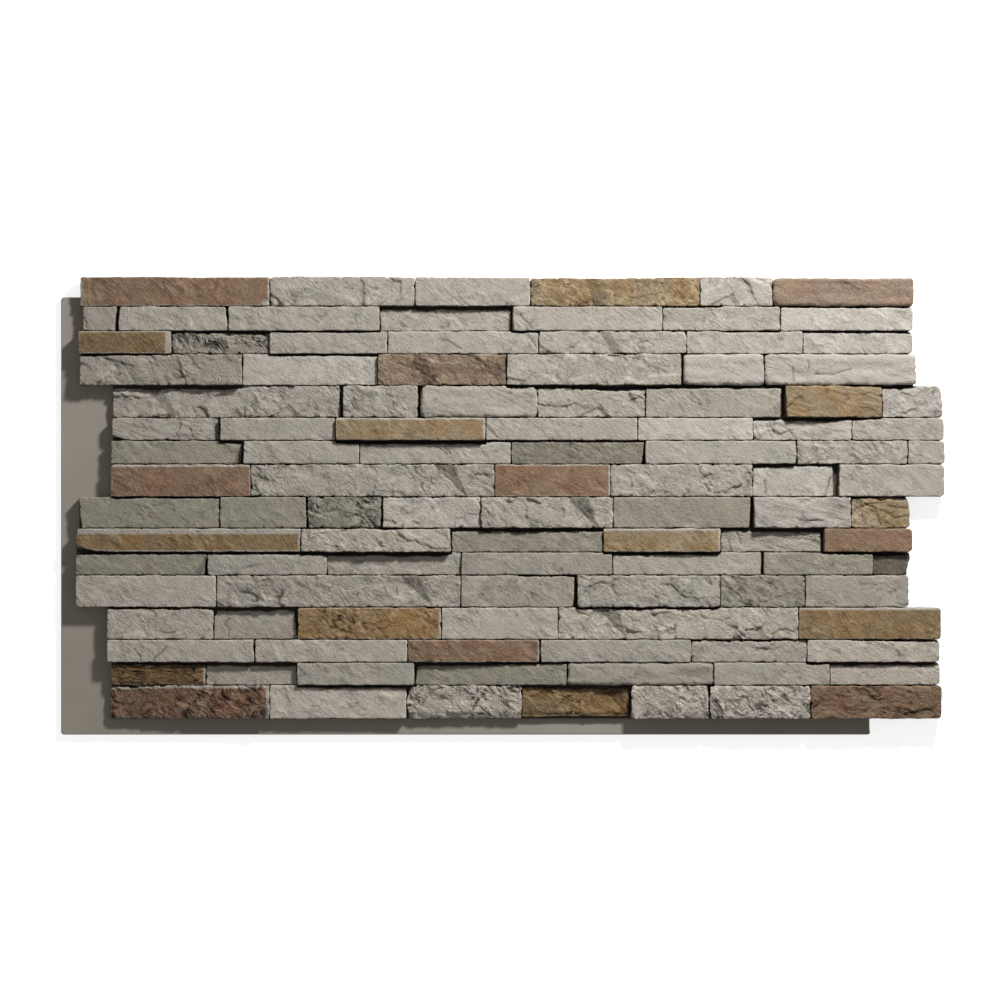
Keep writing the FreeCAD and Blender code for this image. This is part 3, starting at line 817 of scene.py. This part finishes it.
def sprayed_foam(name, hollow, face, patch, bright):
    """Acrylic paint sprayed on moulded polyurethane foam: dead matt, with the mould's grit showing through.

    The dark tone stays in the marks' hollows, and it also paints shade on the walls in joints, on shaded
    hollows and in cracks. The high spots are dry-brushed paler, and the pale tone also paints a highlight along
    the edges, widest at the top. At its margins the colour gives way to the grey ground. The mould's finest
    grit is too small to show, so its grains are drawn 2 to 5 mm across, and the speckle of the spray 2.6 mm.
    """
    material, tree = new_material(name)
    place = node(tree, "ShaderNodeTexCoord").outputs["Object"]
    cover = node(tree, "ShaderNodeAttribute", {"attribute_name": "cover"}).outputs["Fac"]
    relief = node(tree, "ShaderNodeAttribute", {"attribute_name": "relief"}).outputs["Fac"]
    grit = node(tree, "ShaderNodeAttribute", {"attribute_name": "grit"}).outputs["Fac"]
    drift = node(tree, "ShaderNodeTexNoise", Vector=place, Scale=repeats(30), Detail=1.0)
    offset = node(tree, "ShaderNodeVectorMath", {"operation": "SCALE"}, Vector=drift.outputs["Color"],
                  Scale=30 * MM)
    bent = node(tree, "ShaderNodeVectorMath", {"operation": "ADD"}, _0=place, _1=offset.outputs["Vector"])

    def slanting(length, width, roughness):
        grain = node(tree, "ShaderNodeMapping", {"vector_type": "TEXTURE"}, Vector=bent.outputs["Vector"],
                     Rotation=(0, 0, TOOL_ANGLE), Scale=(length * MM, width * MM, width * MM))
        return node(tree, "ShaderNodeTexNoise", Vector=grain.outputs["Vector"], Scale=1.0, Detail=2.0,
                    Roughness=roughness).outputs["Fac"]

    ledge = node(tree, "ShaderNodeMapRange", {"interpolation_type": "SMOOTHSTEP"},
                 Value=slanting(11, 3.4, 0.55), _1=0.46, _2=0.53)
    rough = node(tree, "ShaderNodeMath", {"operation": "MULTIPLY_ADD"}, _0=ledge.outputs["Result"], _1=0.2,
                 _2=slanting(4.8, 2, 0.6))
    height = node(tree, "ShaderNodeMath", {"operation": "MULTIPLY"}, _0=rough.outputs[0], _1=grit)
    strength = node(tree, "ShaderNodeMapRange", Value=drift.outputs["Fac"], _1=0.35, _2=0.65, _3=0.5, _4=1.0)
    speckle = node(tree, "ShaderNodeTexNoise", Vector=place, Scale=repeats(2.6), Detail=2.0, Roughness=0.6)
    mottle = node(tree, "ShaderNodeTexNoise", Vector=place, Scale=repeats(45), Detail=3.0, Roughness=0.6)
    # The relief attribute also carries painted shade on joint walls, shaded hollows and cracks, and a painted
    # highlight on edges.
    depth = node(tree, "ShaderNodeMapRange", Value=relief, _1=-1.3, _2=0.5)
    painted_light_and_wash = node(tree, "ShaderNodeMath", {"operation": "MULTIPLY_ADD"}, _0=speckle.outputs["Fac"], _1=0.6,
                 _2=depth.outputs["Result"])
    level = node(tree, "ShaderNodeMapRange", Value=painted_light_and_wash.outputs[0], _1=0.3, _2=1.3)
    patchy = node(tree, "ShaderNodeMapRange", Value=mottle.outputs["Fac"], _1=0.45, _2=0.6)
    tone = node(tree, "ShaderNodeMix", {"data_type": "RGBA"}, _0=patchy.outputs["Result"], _6=linear(face),
                _7=linear(patch))
    lower = node(tree, "ShaderNodeMapRange", Value=level.outputs["Result"], _1=0.0, _2=0.65)
    upper = node(tree, "ShaderNodeMapRange", Value=level.outputs["Result"], _1=0.65, _2=1.0)

    def graded(dark, middle, pale):
        darker = node(tree, "ShaderNodeMix", {"data_type": "RGBA"}, _0=lower.outputs["Result"],
                      _6=linear(dark), _7=middle)
        return node(tree, "ShaderNodeMix", {"data_type": "RGBA"}, _0=upper.outputs["Result"],
                    _6=darker.outputs[2], _7=linear(pale)).outputs[2]

    ground = PAINTS["warm_grey"]
    ragged = node(tree, "ShaderNodeMath", {"operation": "MULTIPLY_ADD"}, _0=speckle.outputs["Fac"], _1=3.0,
                  _2=cover)
    covered = node(tree, "ShaderNodeMapRange", Value=ragged.outputs[0], _1=1.0, _2=3.0)
    colour = node(tree, "ShaderNodeMix", {"data_type": "RGBA"}, _0=covered.outputs["Result"],
                  _6=graded(ground[0], linear(ground[1]), ground[3]),
                  _7=graded(hollow, tone.outputs[2], bright))
    bump = node(tree, "ShaderNodeBump", Height=height.outputs[0], Strength=strength.outputs["Result"],
                Distance=1.2 * MM)
    shader = node(tree, "ShaderNodeBsdfPrincipled", Base_Color=colour.outputs[2], Roughness=0.86,
                  IOR=ACRYLIC_IOR, Normal=bump.outputs["Normal"])
    node(tree, "ShaderNodeOutputMaterial", Surface=shader.outputs["BSDF"])
    return material


def flange_paint():
    """The grey acrylic on the flange, where the mould is smooth: even and matt, with only a little grit."""
    material, tree = new_material("grey_acrylic_on_smooth_foam")
    place = node(tree, "ShaderNodeTexCoord").outputs["Object"]
    mottle = node(tree, "ShaderNodeTexNoise", Vector=place, Scale=repeats(60), Detail=2.0)
    grit = node(tree, "ShaderNodeTexNoise", Vector=place, Scale=repeats(2.5), Detail=2.0)
    colour = node(tree, "ShaderNodeMix", {"data_type": "RGBA"}, _0=mottle.outputs["Fac"],
                  _6=linear("#91897E"), _7=linear("#A39B90"))
    bump = node(tree, "ShaderNodeBump", Height=grit.outputs["Fac"], Strength=0.3, Distance=0.3 * MM)
    shader = node(tree, "ShaderNodeBsdfPrincipled", Base_Color=colour.outputs[2], Roughness=0.82,
                  IOR=ACRYLIC_IOR, Normal=bump.outputs["Normal"])
    node(tree, "ShaderNodeOutputMaterial", Surface=shader.outputs["BSDF"])
    return material


def joint_painted_shade():
    """Painted shade: a dark colour on the bed of the joints, where the deep narrow joints lie in shade. Dead
    matt, and mottled.
    """
    material, tree = new_material("painted_joint_shade_on_moulded_foam")
    place = node(tree, "ShaderNodeTexCoord").outputs["Object"]
    mottle = node(tree, "ShaderNodeTexNoise", Vector=place, Scale=repeats(12), Detail=2.0)
    colour = node(tree, "ShaderNodeMix", {"data_type": "RGBA"}, _0=mottle.outputs["Fac"],
                  _6=linear("#38332B"), _7=linear("#4C463C"))
    shader = node(tree, "ShaderNodeBsdfPrincipled", Base_Color=colour.outputs[2], Roughness=0.88,
                  IOR=ACRYLIC_IOR)
    node(tree, "ShaderNodeOutputMaterial", Surface=shader.outputs["BSDF"])
    return material


def raw_foam():
    """Unpainted skin of rigid polyurethane foam, as it leaves the mould: cream, swirled, and faintly pitted.

    The pores of the skin are too fine to show, so they are drawn 3 mm wide.
    """
    material, tree = new_material("moulded_polyurethane_skin")
    place = node(tree, "ShaderNodeTexCoord").outputs["Object"]
    swirl = node(tree, "ShaderNodeTexNoise", Vector=place, Scale=repeats(80), Detail=4.0, Distortion=1.0)
    pores = node(tree, "ShaderNodeTexVoronoi", {"feature": "DISTANCE_TO_EDGE"}, Vector=place,
                 Scale=repeats(3))
    colour = node(tree, "ShaderNodeMix", {"data_type": "RGBA"}, _0=swirl.outputs["Fac"], _6=linear("#B9A983"),
                  _7=linear("#CDBF9C"))
    bump = node(tree, "ShaderNodeBump", Height=pores.outputs["Distance"], Strength=0.25, Distance=0.4 * MM)
    shader = node(tree, "ShaderNodeBsdfPrincipled", Base_Color=colour.outputs[2], Roughness=0.7, IOR=1.5,
                  Normal=bump.outputs["Normal"])
    node(tree, "ShaderNodeOutputMaterial", Surface=shader.outputs["BSDF"])
    return material


def build_floor():
    """A pale floor that the panel lies on: matt white, and pure white to the camera where it is lit."""
    mesh = bpy.data.meshes.new("floor")
    corners = [(x * FLOOR_REACH, y * FLOOR_REACH, 0) for x, y in ((-1, -1), (1, -1), (1, 1), (-1, 1))]
    mesh.from_pydata(corners, [], [(0, 1, 2, 3)])
    material, tree = new_material("matt_white_studio_floor")
    rays = node(tree, "ShaderNodeLightPath").outputs
    seen = node(tree, "ShaderNodeMath", {"operation": "MAXIMUM"}, _0=rays["Is Camera Ray"],
                _1=rays["Is Glossy Ray"])
    seen = node(tree, "ShaderNodeMath", {"operation": "MAXIMUM"}, _0=seen.outputs[0],
                _1=rays["Is Transmission Ray"])
    glow = node(tree, "ShaderNodeMath", {"operation": "MULTIPLY"}, _0=seen.outputs[0], _1=FLOOR_GLOW)
    shader = node(tree, "ShaderNodeBsdfPrincipled", Base_Color=linear("#E7E7E7"), Roughness=1.0,
                  Emission_Color=linear("#FFFFFF"), Emission_Strength=glow.outputs[0])
    node(tree, "ShaderNodeOutputMaterial", Surface=shader.outputs["BSDF"])
    mesh.materials.append(material)
    add_object(mesh)


def light_panel():
    """A soft lamp near the upper right and a little fill all round.

    Together they light a level white face at the panel's centre to just white, so colours render as written.
    """
    lamp = bpy.data.lights.new("key", "AREA")
    lamp.shape, lamp.size = "SQUARE", LAMP_SIDE
    lamp.energy = (1 - FILL) * math.pi ** 2 * LAMP_PLACE.length ** 3 / LAMP_PLACE.z
    key = add_object(lamp)
    key.location = LAMP_PLACE
    key.rotation_euler = (-LAMP_PLACE).to_track_quat("-Z", "Y").to_euler()
    world = bpy.data.worlds.new("fill")
    world.use_nodes = True
    tree = world.node_tree
    rays = node(tree, "ShaderNodeLightPath").outputs["Is Camera Ray"]
    strength = node(tree, "ShaderNodeMapRange", Value=rays, _3=FILL, _4=1.0)
    tree.links.new(strength.outputs["Result"], tree.nodes["Background"].inputs["Strength"])
    tree.nodes["Background"].inputs["Color"].default_value = linear("#FFFFFF")
    bpy.context.scene.world = world


def place_camera():
    """A camera that looks straight down and frames the panel as the photograph does."""
    camera = bpy.data.cameras.new("camera")
    camera.sensor_width = 36
    camera.lens = camera.sensor_width * CAMERA_DISTANCE / FRAME_WIDTH
    view = add_object(camera)
    view.location = (*FRAME_CENTRE, CAMERA_DISTANCE + MIDDLE_FACE)
    bpy.context.scene.camera = view


def main():
    """Dresses the panel and stages it."""
    bpy.context.scene.view_settings.view_transform = "Standard"
    mesh = packed_panel()
    joint_floor, lap = flat_levels(mesh)
    mesh.free()
    low, high = (np.array(corner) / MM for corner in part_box(NODE))
    finishes = {name: sprayed_foam(f"{name}_acrylic_on_moulded_foam", *tones)
                for name, tones in PAINTS.items()}
    courses = read_stones(joint_floor)
    pieces = [build_backing(joint_floor, lap, (flange_paint(), raw_foam(), joint_painted_shade()))]
    for number, looks in enumerate(LOOKS, 1):
        pieces.append(build_course(number, courses, looks, (joint_floor, lap, low, high), finishes))
    for piece in pieces:
        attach(piece, "root")
        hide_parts(NODE)
    build_floor()
    light_panel()
    place_camera()


main()
